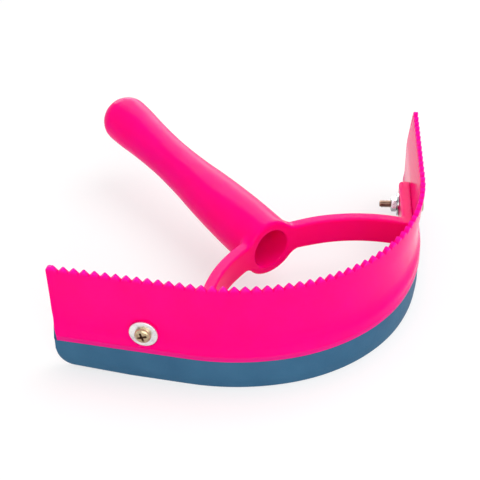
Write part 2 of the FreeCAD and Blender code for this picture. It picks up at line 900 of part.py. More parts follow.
def make_nut(side_name, side):
    """Hexagon nut with both ends chamfered at the corners."""
    body = make_body(side_name + "_nut")
    sketch = make_sketch(body, side_name + "_hexagon", "XZ_Plane")
    corner_radius = size("nut_across_flats") / 2 / cosine(term(30))
    corners = []
    for number in range(6):
        angle = term(60.0 * number)
        corners.append((corner_radius * cosine(angle), corner_radius * sine(angle)))
    draw_outline(sketch, corners)
    pad = body.newObject("PartDesign::Pad", side_name + "_nut_block")
    pad.Profile = sketch
    pad.Reversed = True
    bind(pad, "Length", size("nut_thickness"))
    doc.recompute()
    groove_sketch = make_sketch(body, side_name + "_nut_ends", "XY_Plane")
    bored = size("screw_radius") + size("nut_fit")
    outside = corner_radius + size("nut_chamfer")
    thickness = size("nut_thickness")
    flat = corner_radius - size("nut_chamfer") * 2
    rise = size("nut_chamfer_rise")
    corners = (
        (term(0), -rise),
        (outside, -rise),
        (outside, rise),
        (flat, term(0)),
        (bored, term(0)),
        (bored, thickness),
        (flat, thickness),
        (outside, thickness - rise),
        (outside, thickness + rise),
        (term(0), thickness + rise),
    )
    draw_outline(groove_sketch, corners)
    groove = body.newObject("PartDesign::Groove", side_name + "_nut_bored")
    groove.Profile = groove_sketch
    groove.ReferenceAxis = (groove_sketch, ["V_Axis"])
    groove.Angle = 360
    doc.recompute()
    if groove.Shape.Volume > pad.Shape.Volume - 1:
        raise ValueError("the nut was not bored")
    place_on_bolt(body, side, nut_seat)
    return body


def make_fasteners():
    """Screw, two washers and nut on each flank, face to face along the screw."""
    pieces = []
    for side_name, side in SIDES:
        outer = size("outer_washer_radius")
        inner = size("inner_washer_radius")
        pieces.append(make_screw(side_name, side))
        pieces.append(make_washer(side_name + "_outer_washer", side, outer, head_seat))
        pieces.append(make_washer(side_name + "_inner_washer", side, inner, lug_face))
        pieces.append(make_nut(side_name, side))
    return pieces


# ---- Build, check and write -------------------------------------------------------------


def check_document():
    """Stop if any object failed without saying so."""
    for feature in doc.Objects:
        if "Invalid" in feature.State or "Error" in feature.State:
            raise ValueError("%s: %s" % (feature.Name, feature.State))


def check_piece(piece):
    shape = piece.Shape
    if shape.isNull() or not shape.isValid() or len(shape.Solids) != 1 or shape.Volume < 0:
        raise ValueError("%s is not one valid solid" % piece.Name)


pieces = [make_blade(), make_rubber(), make_handle_yoke()] + make_fasteners()
doc.recompute()
check_document()
for piece in pieces:
    piece.Label = piece.Name
    check_piece(piece)
os.makedirs("parts", exist_ok=True)
for piece in pieces:
    piece.Shape.exportStep("parts/%s.step" % piece.Label)
    print("%-20s %9.1f mm3" % (piece.Label, piece.Shape.Volume))
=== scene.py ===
import json
import math
import bmesh
import bpy
from mathutils import Matrix, Vector

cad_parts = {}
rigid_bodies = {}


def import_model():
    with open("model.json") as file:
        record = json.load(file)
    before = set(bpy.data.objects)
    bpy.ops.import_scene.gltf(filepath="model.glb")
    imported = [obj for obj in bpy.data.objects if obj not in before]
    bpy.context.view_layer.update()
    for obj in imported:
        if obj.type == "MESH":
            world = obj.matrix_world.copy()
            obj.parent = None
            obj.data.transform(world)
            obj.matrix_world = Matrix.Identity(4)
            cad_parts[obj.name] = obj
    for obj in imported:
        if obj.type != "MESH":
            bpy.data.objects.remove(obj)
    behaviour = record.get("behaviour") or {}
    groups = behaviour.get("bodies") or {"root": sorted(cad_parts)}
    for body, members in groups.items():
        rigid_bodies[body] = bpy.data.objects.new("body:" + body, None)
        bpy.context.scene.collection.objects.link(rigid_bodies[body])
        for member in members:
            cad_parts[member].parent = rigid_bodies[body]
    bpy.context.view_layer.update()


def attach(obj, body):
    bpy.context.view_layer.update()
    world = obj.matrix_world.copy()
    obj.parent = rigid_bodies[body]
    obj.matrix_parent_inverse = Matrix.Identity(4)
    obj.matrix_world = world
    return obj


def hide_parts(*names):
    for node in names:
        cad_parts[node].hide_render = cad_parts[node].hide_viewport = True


for leftover in list(bpy.data.objects):
    bpy.data.objects.remove(leftover)
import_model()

# ---- Camera -----------------------------------------------------------------------------
# A long lens looks down on the scraper from in front of its left flank, with the handle
# running away to the upper left.

camera_aim = Vector((-5.41, 85.19, 25.5)) / 1000
camera_distance = 0.63647
camera_turn = math.radians(36.84)
camera_drop = math.radians(35.97)
camera_roll = math.radians(-0.3)

camera_data = bpy.data.cameras.new("camera")
camera_data.sensor_width = 36.0
camera_data.lens = 92.256
camera_data.clip_start = 0.01
camera = bpy.data.objects.new("camera", camera_data)
bpy.context.scene.collection.objects.link(camera)
camera_facing = (
    Matrix.Rotation(-camera_turn, 4, "Z")
    @ Matrix.Rotation(math.pi / 2 - camera_drop, 4, "X")
    @ Matrix.Rotation(camera_roll, 4, "Z")
)
camera_back = camera_facing.to_3x3() @ Vector((0, 0, 1))
camera.matrix_world = Matrix.Translation(camera_aim + camera_back * camera_distance) @ camera_facing
bpy.context.scene.camera = camera

# ---- Blade ------------------------------------------------------------------------------
# The toothed scraping blade: one bowed strip of glossy pink plastic, moulded with a swollen
# crest, a slot for the rubber along its foot and a raised seat for each washer. It is made
# as a straight blank, given its teeth, drilled, and then bent round its line.

middle_radius, middle_angle = 87.5, math.radians(24.5)
shoulder_radius, shoulder_angle = 106.0, math.radians(25.0)
flank_length = 66.4
flank_angle = middle_angle + shoulder_angle
shoulder_start = middle_radius * middle_angle
flank_start = shoulder_start + shoulder_radius * shoulder_angle
half_length = flank_start + flank_length

wall_foot, tip_level = 16.1, 59.5
plate_front, plate_back = 0.1, 3.2
tip_front, tip_back, lean_start = -1.5, 1.0, 39.1
waist_level, crest_level, crest_swell = 31.5, 22.1, 2.0
lip_front, lip_level, lip_step = -1.85, 18.9, 0.2
slot_front, slot_back, slot_top = -0.3, 1.1, 24.5
back_wall_front, back_wall_foot, back_slant_top = 3.8, 13.5, 20.3
tooth_pitch, tooth_depth, tooth_flat, tooth_shift = 5.0, 2.5, 0.5, 0.5
left_last_tip, right_last_tip = 147.0, 148.0
end_corner, end_taper, taper_top, taper_reach, end_trim = 2.0, 2.3, 33.0, 8.0, 0.05
tip_round, near_tip, below_teeth = 0.45, 0.6, 3.6
front_lean_near, front_lean_below, back_lean_below = 0.05, 0.28, 0.39
tip_softness, tip_settle, depth_share = 0.25, 0.12, 1.12
room_width, room_overlap = 16.0, 0.04
bolt_station, bolt_level = half_length - 45.2, 27.7
seat_face, seat_radius, boss_radius = -0.9, 7.25, 7.1
bolt_hole_radius = 2.25


def round_corners(mesh, corners, segments):
    """Round each corner of an outline, given as (vertex, set-back along its edges)."""
    for corner, set_back in corners:
        bmesh.ops.bevel(
            mesh, geom=[corner], offset=set_back, offset_type="OFFSET", segments=segments,
            profile=0.5, affect="VERTICES", material=-1, clamp_overlap=False,
        )


def blank(section, columns, reach):
    """Straight blank from -reach to reach along X, given ((inwards, height, set-back), ...)."""
    mesh = bmesh.new()
    corners = [mesh.verts.new((-reach, inwards, height)) for inwards, height, _ in section]
    mesh.faces.new(corners)
    rounded = [(corner, spot[2]) for corner, spot in zip(corners, section) if spot[2]]
    round_corners(mesh, rounded, 4)
    bmesh.ops.remove_doubles(mesh, verts=mesh.verts[:], dist=0.001)
    made = bmesh.ops.extrude_face_region(mesh, geom=mesh.faces[:], use_keep_orig=True)
    moved = [item for item in made["geom"] if isinstance(item, bmesh.types.BMVert)]
    bmesh.ops.translate(mesh, verts=moved, vec=(2 * reach, 0, 0))
    long_edges = [edge for edge in mesh.edges if abs(edge.verts[0].co.x - edge.verts[1].co.x) > reach]
    bmesh.ops.subdivide_edges(mesh, edges=long_edges, cuts=columns - 1, use_grid_fill=True)
    bmesh.ops.recalc_face_normals(mesh, faces=mesh.faces[:])
    return mesh


def bend(mesh):
    """Bend a blank round the plan of the wiping edge: two arcs and a straight flank."""
    for vertex in mesh.verts:
        along, inwards, height = vertex.co
        side = 1 if along >= 0 else -1
        reach = abs(along)
        if reach < shoulder_start:
            angle = reach / middle_radius
            spot = Vector((math.sin(angle), 1 - math.cos(angle))) * middle_radius
        else:
            spot = Vector((math.sin(middle_angle), 1 - math.cos(middle_angle))) * middle_radius
            run = min(reach, flank_start) - shoulder_start
            angle = middle_angle + run / shoulder_radius
            spot += shoulder_radius * Vector((
                math.sin(angle) - math.sin(middle_angle), math.cos(middle_angle) - math.cos(angle),
            ))
        if reach > flank_start:
            spot += (reach - flank_start) * Vector((math.cos(angle), math.sin(angle)))
        spot += inwards * Vector((-math.sin(angle), math.cos(angle)))
        vertex.co = (side * spot.x, spot.y, height)


def make_object(name, mesh, smooth_angle=None):
    """Turn a mesh in millimetres into an object in metres, shaded smooth if given an angle."""
    bmesh.ops.scale(mesh, vec=(0.001, 0.001, 0.001), verts=mesh.verts[:])
    data = bpy.data.meshes.new(name)
    mesh.to_mesh(data)
    mesh.free()
    piece = bpy.data.objects.new(name, data)
    bpy.context.scene.collection.objects.link(piece)
    if smooth_angle:
        shade(piece, smooth_angle)
    return piece


def shade(piece, smooth_angle):
    """Smooth the surface and keep edges sharper than the angle, in degrees."""
    piece.data.shade_smooth()
    piece.data.set_sharp_from_angle(angle=math.radians(smooth_angle))


def apply_modifiers(piece):
    """Keep what the piece's modifiers make as its own mesh."""
    graph = bpy.context.evaluated_depsgraph_get()
    made = bpy.data.meshes.new_from_object(piece.evaluated_get(graph))
    piece.modifiers.clear()
    piece.data = made


def carve(piece, tool, operation):
    """Join a tool to a piece or cut it out of the piece, and remove the tool."""
    step = piece.modifiers.new(operation, "BOOLEAN")
    step.operation = operation
    step.solver = "EXACT"
    step.object = tool
    apply_modifiers(piece)
    bpy.data.objects.remove(tool)


def cylinder(radius, start, finish, segments):
    """Cylinder along Y between two distances inwards."""
    mesh = bmesh.new()
    bmesh.ops.create_cone(
        mesh, cap_ends=True, segments=segments, radius1=radius, radius2=radius, depth=finish - start
    )
    lying = Matrix.Rotation(math.pi / 2, 3, "X")
    bmesh.ops.rotate(mesh, cent=(0, 0, 0), matrix=lying, verts=mesh.verts[:])
    bmesh.ops.translate(mesh, vec=(0, (start + finish) / 2, 0), verts=mesh.verts[:])
    bmesh.ops.recalc_face_normals(mesh, faces=mesh.faces[:])
    return mesh


def s_curve(start, finish, share):
    """Corners, with set-backs, of two tangent arcs between parallel stretches (along, off)."""
    run = abs(finish[0] - start[0])
    total = (run + (finish[1] - start[1]) ** 2 / run) / 2
    way = 1 if finish[0] > start[0] else -1
    first, last = share * total, (1 - share) * total
    return (start[0] + way * first, start[1], first), (finish[0] - way * last, finish[1], last)


hollow, swell = s_curve((waist_level, plate_front), (crest_level, plate_front - crest_swell), 0.6)
blade_section = (
    (tip_front, tip_level, tip_round),
    (tip_front + front_lean_near, tip_level - near_tip, 0),
    (tip_front + front_lean_below, tip_level - below_teeth, 0),
    (plate_front, lean_start, 3.0),
    (hollow[1], hollow[0], hollow[2]),
    (swell[1], swell[0], swell[2]),
    (lip_front + lip_step, lip_level + lip_step, 0.1),
    (lip_front, lip_level, 0.1),
    (lip_front, wall_foot, 0.5),
    (slot_front, wall_foot, 0.15),
    (slot_front, slot_top, 0),
    (slot_back, slot_top, 0),
    (slot_back, back_wall_foot, 0.15),
    (back_wall_front, back_wall_foot, 0.5),
    (back_wall_front, wall_foot, 0.6),
    (plate_back, back_slant_top, 1.2),
    (plate_back, lean_start, 3.0),
    (tip_back + back_lean_below, tip_level - below_teeth, 0),
    (tip_back, tip_level - near_tip, 0),
    (tip_back, tip_level, tip_round),
)
columns_per_tooth = 20
column = tooth_pitch / columns_per_tooth
blade_columns = 2 * round(half_length / column)
blade_mesh = blank(blade_section, blade_columns, blade_columns * column / 2)


def tooth_drop(station):
    """How far the toothed edge lies below its tips, with the tips eased."""
    from_tip = abs((station - tooth_shift) % tooth_pitch - tooth_pitch / 2)
    slope = tooth_depth / (tooth_pitch / 2 - tooth_flat / 2)
    straight = (from_tip - tooth_flat / 2) * slope
    eased = (straight + math.sqrt(straight * straight + tip_softness)) / 2
    return max(0.0, eased - tip_settle) * depth_share


for vertex in blade_mesh.verts:
    station, inwards, height = vertex.co
    from_end = max(0.0, half_length - abs(station))
    drop = tooth_drop(station)
    if abs(station) > (left_last_tip if station < 0 else right_last_tip):
        drop = end_corner - math.sqrt(max(0.0, end_corner ** 2 - max(0.0, end_corner - from_end) ** 2))
    if height > tip_level - 3.0:
        vertex.co.z -= drop
        vertex.co.y += drop * (plate_front - tip_front) / (tip_level - lean_start)
    if from_end < 0.6 * column:
        vertex.co.x = math.copysign(half_length - end_trim, station)
    taper = end_taper * max(0.0, (taper_top - height) / (taper_top - back_wall_foot))
    vertex.co.x -= math.copysign(taper * max(0.0, 1 - from_end / taper_reach), station)
blade = make_object("blade_moulding", blade_mesh)

for side in (-1, 1):
    bolt_line = Vector((side * bolt_station, 0, bolt_level))
    boss_mesh = cylinder(boss_radius, seat_face, (plate_front + plate_back) / 2, 96)
    room = bmesh.new()
    bmesh.ops.create_cube(room, size=1.0)
    room_depth = slot_back - slot_front + room_overlap
    room_middle = Vector((0, (slot_back + slot_front) / 2, slot_top - bolt_level - room_width / 2))
    bmesh.ops.scale(room, vec=(room_width, room_depth, room_width + room_overlap), verts=room.verts[:])
    bmesh.ops.translate(room, vec=room_middle, verts=room.verts[:])
    boss = make_object("boss", boss_mesh)
    carve(boss, make_object("slot_room", room), "DIFFERENCE")
    boss.data.transform(Matrix.Translation(bolt_line / 1000))
    carve(blade, boss, "UNION")
    seat_mesh = cylinder(seat_radius, seat_face - 6, seat_face, 96)
    hole_mesh = cylinder(bolt_hole_radius, -8, 8, 48)
    for tool_mesh in (seat_mesh, hole_mesh):
        bmesh.ops.translate(tool_mesh, vec=bolt_line, verts=tool_mesh.verts[:])
        carve(blade, make_object("blade_tool", tool_mesh), "DIFFERENCE")

bent = bmesh.new()
bent.from_mesh(blade.data)
bmesh.ops.scale(bent, vec=(1000, 1000, 1000), verts=bent.verts[:])
bmesh.ops.remove_doubles(bent, verts=bent.verts[:], dist=0.003)
bmesh.ops.holes_fill(bent, edges=[edge for edge in bent.edges if edge.is_boundary], sides=4)
bend(bent)
bmesh.ops.scale(bent, vec=(0.001, 0.001, 0.001), verts=bent.verts[:])
bent.to_mesh(blade.data)
bent.free()
shade(blade, 32)


def mix_colours(nodes, links, factor, first, second):
    """Mix node between two colours, driven by a socket."""
    mixed = nodes.new("ShaderNodeMix")
    mixed.data_type = "RGBA"
    mixed.inputs[6].default_value = (*first, 1)
    mixed.inputs[7].default_value = (*second, 1)
    links.new(factor, mixed.inputs[0])
    return mixed.outputs[2]


def fine_noise(nodes, links, coordinates, scale, detail=3.0):
    """Noise node on the piece's own coordinates."""
    noise = nodes.new("ShaderNodeTexNoise")
    noise.inputs["Scale"].default_value = scale
    noise.inputs["Detail"].default_value = detail
    links.new(coordinates, noise.inputs["Vector"])
    return noise.outputs["Fac"]


def spread(nodes, links, value, low, high, to_low, to_high):
    """Map Range node."""
    ranged = nodes.new("ShaderNodeMapRange")
    ranged.inputs["From Min"].default_value = low
    ranged.inputs["From Max"].default_value = high
    ranged.inputs["To Min"].default_value = to_low
    ranged.inputs["To Max"].default_value = to_high
    links.new(value, ranged.inputs["Value"])
    return ranged.outputs["Result"]


def add_relief(nodes, links, shader, heights, distance, strength):
    """Bump from a height socket."""
    bump = nodes.new("ShaderNodeBump")
    bump.inputs["Strength"].default_value = strength
    bump.inputs["Distance"].default_value = distance
    links.new(heights, bump.inputs["Height"])
    links.new(bump.outputs["Normal"], shader.inputs["Normal"])


def moulded_plastic(name, colour, shaded, roughness, thin_and_sheen_bands=()):
    """Glossy pigmented plastic with faint streaks and orange peel, and bands by height that take another
    tint, such as a thin place and a painted sheen of light.

    Bands are (low, high, share below, share above, tint), by height in metres.
    """
    material = bpy.data.materials.new(name)
    material.use_nodes = True
    nodes, links = material.node_tree.nodes, material.node_tree.links
    shader = nodes["Principled BSDF"]
    shader.inputs["Specular IOR Level"].default_value = 0.03
    shader.inputs["IOR"].default_value = 1.46
    shader.inputs["Subsurface Weight"].default_value = 0.4
    shader.inputs["Subsurface Radius"].default_value = (1.0, 0.05, 0.3)
    shader.inputs["Subsurface Scale"].default_value = 0.007
    coordinates = nodes.new("ShaderNodeTexCoord").outputs["Object"]
    clouds = fine_noise(nodes, links, coordinates, 38.0, 4.0)
    share = spread(nodes, links, clouds, 0.35, 0.65, 0.0, 1.0)
    pigment = mix_colours(nodes, links, share, colour, shaded)
    levels = nodes.new("ShaderNodeSeparateXYZ")
    links.new(coordinates, levels.inputs[0])
    for low, high, to_low, to_high, tint in thin_and_sheen_bands:
        share = spread(nodes, links, levels.outputs["Z"], low, high, to_low, to_high)
        tinted = mix_colours(nodes, links, share, colour, tint)
        links.new(pigment, tinted.node.inputs[6])
        pigment = tinted
    links.new(pigment, shader.inputs["Base Color"])
    rub = fine_noise(nodes, links, coordinates, 160.0, 6.0)
    wear = spread(nodes, links, rub, 0.3, 0.7, roughness * 0.8, roughness * 1.25)
    links.new(wear, shader.inputs["Roughness"])
    peel = fine_noise(nodes, links, coordinates, 900.0, 2.0)
    add_relief(nodes, links, shader, peel, 0.00003, 0.18)
    return material


# The first band, above 57 mm, turns the toothed top magenta: a painted sheen of light on the tooth tips.
# The second darkens the thin lip over the slot, where the blue rubber shows through.
blade_plastic = moulded_plastic(
    "blade_plastic", (1.0, 0.0012, 0.205), (1.0, 0.001, 0.185), 0.12,
    ((0.0570, 0.0590, 0.0, 1.0, (0.86, 0.006, 0.34)), (0.0186, 0.0193, 1.0, 0.0, (0.78, 0.012, 0.205))),
)
blade.data.materials.append(blade_plastic)
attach(blade, "root")
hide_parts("blade")

# ---- Rubber strip -----------------------------------------------------------------------
# The wiping lip: a strip of slate-blue rubber whose tongue is pushed up into the blade's
# slot. Its lower edge is bevelled in front and its two lower corners are cut round.

strip_front, strip_back, tongue_front = -1.5, 1.0, -0.2
tongue_top, strip_shoulder = 24.4, 16.0
bevel_level, bevel_depth = 4.8, 0.5
strip_end, strip_corner = half_length - 0.6, 9.0
end_rise, rise_length, rise_top, plain_from = 1.3, 37.0, 11.5, 11.0
tongue_out, tongue_lean, tongue_reach = 0.8, 0.6, 6.0

rubber_section = (
    (tongue_front, tongue_top, 0.2),
    (tongue_front, strip_shoulder, 0),
    (strip_front, strip_shoulder, 0.25),
    (strip_front, plain_from, 0),
    (strip_front, bevel_level, 0.5),
    (strip_front + bevel_depth, 0, 0.25),
    (strip_back, 0, 0.25),
    (strip_back, plain_from, 0),
    (strip_back, tongue_top, 0.2),
)
rubber_mesh = blank(rubber_section, 600, strip_end)
for vertex in rubber_mesh.verts:
    from_end = strip_end - abs(vertex.co.x)
    foot = end_rise * max(0.0, min(1.0, (rise_length - from_end) / (rise_length - strip_corner)))
    if from_end < strip_corner:
        foot += strip_corner - math.sqrt(max(0.0, strip_corner ** 2 - (strip_corner - from_end) ** 2))
    on_tongue = vertex.co.z > strip_shoulder - 0.01 and vertex.co.y > tongue_front - 0.01
    if on_tongue and from_end < tongue_reach:
        lean = tongue_out - tongue_lean * (vertex.co.z - strip_shoulder) / (tongue_top - strip_shoulder)
        vertex.co.x += math.copysign(lean * (1 - from_end / tongue_reach), vertex.co.x)
    if vertex.co.z < rise_top:
        vertex.co.z = foot + vertex.co.z * (rise_top - foot) / rise_top
bend(rubber_mesh)
rubber = make_object("rubber_wiper", rubber_mesh, 40)


def moulded_rubber(name, colour, faded):
    """Satin rubber: cloudy colour, a dusty bloom and a fine grain."""
    material = bpy.data.materials.new(name)
    material.use_nodes = True
    nodes, links = material.node_tree.nodes, material.node_tree.links
    shader = nodes["Principled BSDF"]
    shader.inputs["Specular IOR Level"].default_value = 0.25
    coordinates = nodes.new("ShaderNodeTexCoord").outputs["Object"]
    clouds = fine_noise(nodes, links, coordinates, 60.0, 6.0)
    share = spread(nodes, links, clouds, 0.3, 0.7, 0.0, 1.0)
    links.new(mix_colours(nodes, links, share, colour, faded), shader.inputs["Base Color"])
    grain = fine_noise(nodes, links, coordinates, 1400.0, 5.0)
    links.new(spread(nodes, links, grain, 0.2, 0.8, 0.5, 0.72), shader.inputs["Roughness"])
    add_relief(nodes, links, shader, grain, 0.00005, 0.5)
    return material


rubber.data.materials.append(moulded_rubber("rubber", (0.018, 0.092, 0.178), (0.026, 0.112, 0.205)))
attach(rubber, "root")
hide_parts("rubber_strip")

# ---- Handle and yoke --------------------------------------------------------------------
# One hollow moulding in pink plastic: a waisted grip whose open mouth faces the blade, two
# curved arms that spring from the mouth, and a lug at the end of each arm that lies along
# a flank. Where the arms meet the mouth the mould leaves soft fillets.

yoke_level, arm_half_width, arm_half_thickness = 29.3, 7.2, 3.0
arm_radius, arm_overrun, arm_edge = 76.0, math.radians(6.5), 1.1
lug_far, lug_length, lug_face, lug_corner = flank_length - 35.8, 37.3, plate_back + 5.7, 2.0
handle_level, handle_tilt = 28.4, math.radians(5.7)
mouth_radius, mouth_straight = 15.1, 16.0
mouth_edge, bore_edge, arm_fillet, soft_reach, probe = 1.6, 0.8, 3.0, 32.0, 0.01
waist_radius, waist_distance = 11.35, 91.0
bulb_radius, handle_length, end_radius = 13.5, 145.19, 11.5
bore_radius, bore_straight, bore_end_radius, bore_bottom = 10.35, 14.0, 9.0, 140.7

flank_frame = Matrix.Rotation(flank_angle, 3, "Z")
flank_origin = Vector((
    middle_radius * math.sin(middle_angle)
    + shoulder_radius * (math.sin(flank_angle) - math.sin(middle_angle)),
    middle_radius * (1 - math.cos(middle_angle))
    + shoulder_radius * (math.cos(middle_angle) - math.cos(flank_angle)),
    0,
))
arm_root = flank_origin + flank_frame @ Vector((lug_far - lug_length, lug_face - arm_half_thickness, 0))
arm_centre = Vector((0, arm_root.y - math.sqrt(arm_radius ** 2 - arm_root.x ** 2), yoke_level))
arm_sweep = math.asin(arm_root.x / arm_radius) + arm_overrun
arm_inside = arm_radius - arm_half_thickness
mouth_middle = Vector((0, arm_centre.y + arm_inside, handle_level))
handle_frame = Matrix.Rotation(handle_tilt, 3, "X")


def turned(outline, steps, segments):
    """Solid turned about Y from ((along, off, set-back), ...), starting and ending on Y."""
    mesh = bmesh.new()
    corners = [mesh.verts.new((off, along, 0)) for along, off, _ in outline]
    for first, last in zip(corners, corners[1:]):
        mesh.edges.new((first, last))
    round_corners(mesh, [(c, spot[2]) for c, spot in zip(corners, outline) if spot[2]], segments)
    bmesh.ops.remove_doubles(mesh, verts=mesh.verts[:], dist=0.001)
    bmesh.ops.spin(
        mesh, geom=mesh.verts[:] + mesh.edges[:], cent=(0, 0, 0), axis=(0, 1, 0), dvec=(0, 0, 0),
        angle=2 * math.pi, steps=steps, use_merge=True, use_normal_flip=False, use_duplicate=False,
    )
    bmesh.ops.remove_doubles(mesh, verts=mesh.verts[:], dist=0.001)
    bmesh.ops.recalc_face_normals(mesh, faces=mesh.faces[:])
    return mesh


def on_handle(mesh):
    """Stand a solid that runs along Y on the handle's axis, at the mouth."""
    bmesh.ops.rotate(mesh, cent=(0, 0, 0), matrix=handle_frame, verts=mesh.verts[:])
    bmesh.ops.translate(mesh, vec=mouth_middle, verts=mesh.verts[:])
    return mesh


fall = s_curve((mouth_straight, mouth_radius), (waist_distance, waist_radius), 0.6)
rise = s_curve((waist_distance, waist_radius), (handle_length - end_radius, bulb_radius), 0.68)
grip_outline = (
    (-6.0, 0, 0),
    (-6.0, mouth_radius, 0),
    *fall,
    *rise,
    (handle_length, bulb_radius, end_radius),
    (handle_length, 0, 0),
)
grip = make_object("handle_moulding", on_handle(turned(grip_outline, 192, 24)))
trim_mesh = bmesh.new()
bmesh.ops.create_cone(
    trim_mesh, cap_ends=True, segments=512, radius1=arm_inside, radius2=arm_inside, depth=60
)
bmesh.ops.translate(trim_mesh, vec=arm_centre, verts=trim_mesh.verts[:])
carve(grip, make_object("mouth_trim", trim_mesh), "DIFFERENCE")

arms_mesh = bmesh.new()
arm_corners = [
    arms_mesh.verts.new((0, arm_radius + across * arm_half_thickness, up * arm_half_width))
    for across, up in ((-1, -1), (1, -1), (1, 1), (-1, 1))
]
arms_mesh.faces.new(arm_corners)
round_corners(arms_mesh, [(corner, arm_edge) for corner in arm_corners], 6)
bmesh.ops.rotate(
    arms_mesh, cent=(0, 0, 0), matrix=Matrix.Rotation(arm_sweep, 3, "Z"), verts=arms_mesh.verts[:]
)
bmesh.ops.spin(
    arms_mesh, geom=arms_mesh.verts[:] + arms_mesh.edges[:] + arms_mesh.faces[:], cent=(0, 0, 0),
    axis=(0, 0, -1), dvec=(0, 0, 0), angle=2 * arm_sweep, steps=150,
    use_merge=False, use_normal_flip=False, use_duplicate=False,
)
bmesh.ops.recalc_face_normals(arms_mesh, faces=arms_mesh.faces[:])
bmesh.ops.translate(arms_mesh, vec=arm_centre, verts=arms_mesh.verts[:])
carve(grip, make_object("arms", arms_mesh), "UNION")

for side in (-1, 1):
    lug_mesh = bmesh.new()
    bmesh.ops.create_cube(lug_mesh, size=1.0)
    bmesh.ops.scale(lug_mesh, vec=(lug_length, lug_face, 2 * arm_half_width), verts=lug_mesh.verts[:])
    bmesh.ops.translate(
        lug_mesh, vec=(lug_far - lug_length / 2, lug_face / 2, yoke_level), verts=lug_mesh.verts[:]
    )
    far_corner = [
        edge for edge in lug_mesh.edges
        if all(v.co.y > lug_face - 0.01 and v.co.x > lug_far - 0.01 for v in edge.verts)
    ]
    bmesh.ops.bevel(
        lug_mesh, geom=far_corner, offset=lug_corner, offset_type="OFFSET", segments=8, profile=0.5,
        affect="EDGES", material=-1,
    )
    rims = [
        edge for edge in lug_mesh.edges
        if abs(edge.verts[0].co.z - edge.verts[1].co.z) < 0.01
        if not all(v.co.y < 0.01 for v in edge.verts)
        if not all(v.co.x < lug_far - lug_length + 0.01 for v in edge.verts)
    ]
    bmesh.ops.bevel(
        lug_mesh, geom=rims, offset=arm_edge, offset_type="OFFSET", segments=6, profile=0.5,
        affect="EDGES", material=-1,
    )
    bmesh.ops.rotate(lug_mesh, cent=(0, 0, 0), matrix=flank_frame, verts=lug_mesh.verts[:])
    bmesh.ops.translate(lug_mesh, vec=flank_origin, verts=lug_mesh.verts[:])
    bmesh.ops.scale(lug_mesh, vec=(side, 1, 1), verts=lug_mesh.verts[:])
    bmesh.ops.recalc_face_normals(lug_mesh, faces=lug_mesh.faces[:])
    carve(grip, make_object("lug", lug_mesh), "UNION")

room_front, room_back = -14.0, plate_back + 0.1
room_section = (
    (room_front, 0, 0), (room_back, 0, 0), (room_back, tip_level, 0), (room_front, tip_level, 0),
)
room_mesh = blank(room_section, 400, half_length)
bend(room_mesh)
carve(grip, make_object("blade_room", room_mesh), "DIFFERENCE")

bore_outline = (
    (-12.0, 0, 0),
    (-12.0, bore_radius, 0),
    (bore_straight, bore_radius, 0),
    (bore_bottom, bore_end_radius, bore_end_radius),
    (bore_bottom, 0, 0),
)
carve(grip, make_object("bore", on_handle(turned(bore_outline, 128, 12))), "DIFFERENCE")


def on_bolt(mesh, side, inwards):
    """Stand a solid that runs along Y on a screw's axis, at a distance inwards of the line."""
    bmesh.ops.translate(mesh, vec=(flank_length - 45.2, inwards, bolt_level), verts=mesh.verts[:])
    bmesh.ops.rotate(mesh, cent=(0, 0, 0), matrix=flank_frame, verts=mesh.verts[:])
    bmesh.ops.translate(mesh, vec=flank_origin, verts=mesh.verts[:])
    if side < 0:
        bmesh.ops.scale(mesh, vec=(-1, 1, 1), verts=mesh.verts[:])
        bmesh.ops.recalc_face_normals(mesh, faces=mesh.faces[:])
    return mesh


for side in (-1, 1):
    hole_mesh = on_bolt(cylinder(bolt_hole_radius, -14, 14, 48), side, 0)
    carve(grip, make_object("yoke_hole", hole_mesh), "DIFFERENCE")

hard_skin = grip.copy()
bpy.context.scene.collection.objects.link(hard_skin)
even = grip.modifiers.new("even", "REMESH")
even.mode = "VOXEL"
even.voxel_size = 0.00064
fit = grip.modifiers.new("fit", "SHRINKWRAP")
fit.target = hard_skin
fit.wrap_method = "NEAREST_SURFACEPOINT"
apply_modifiers(grip)
bpy.data.objects.remove(hard_skin)


def rounded_edge(first, second, radius):
    """Signed distance of what lies inside two surfaces, with the edge between them rounded."""
    return min(max(first, second), -radius) + math.hypot(max(radius + first, 0), max(radius + second, 0))


def soft_mouth(point):
    """Signed distance from the skin round the mouth, where grip, arms and bore meet softly."""
    spot = (point - mouth_middle) @ handle_frame
    off_axis = math.hypot(spot.x, spot.z)
    off_centre = math.hypot(point.x - arm_centre.x, point.y - arm_centre.y)
    arm = rounded_edge(
        off_centre - arm_radius - arm_half_thickness,
        abs(point.z - yoke_level) - arm_half_width,
        arm_edge,
    )
    joined = -rounded_edge(mouth_radius - off_axis, -arm, arm_fillet)
    edge = arm_edge + (mouth_edge - arm_edge) * max(0.0, min(1.0, (24 - off_axis) / 6))
    trimmed = rounded_edge(joined, arm_inside - off_centre, edge)
    return rounded_edge(trimmed, bore_radius - off_axis, bore_edge)


for vertex in grip.data.vertices:
    point = vertex.co * 1000
    spot = (point - mouth_middle) @ handle_frame
    if spot.y > mouth_straight - 2 or abs(spot.x) > soft_reach:
        continue
    for _ in range(4):
        depth = soft_mouth(point)
        slope = Vector([
            (soft_mouth(point + step) - depth) / probe
            for step in (Vector((probe, 0, 0)), Vector((0, probe, 0)), Vector((0, 0, probe)))
        ])
        point -= slope * depth / max(slope.length_squared, 0.2)
    vertex.co = point / 1000
shade(grip, 50)
handle_plastic = moulded_plastic("handle_plastic", (1.0, 0.001, 0.205), (1.0, 0.0008, 0.19), 0.11)
grip.data.materials.clear()
grip.data.materials.append(handle_plastic)
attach(grip, "root")
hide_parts("handle_yoke")

# ---- Outer washers ----------------------------------------------------------------------
# A wide zinc-plated washer sits on the raised seat in front of each flank and spreads the
# pull of the screw over the plastic.

head_seat = seat_face - 1.0


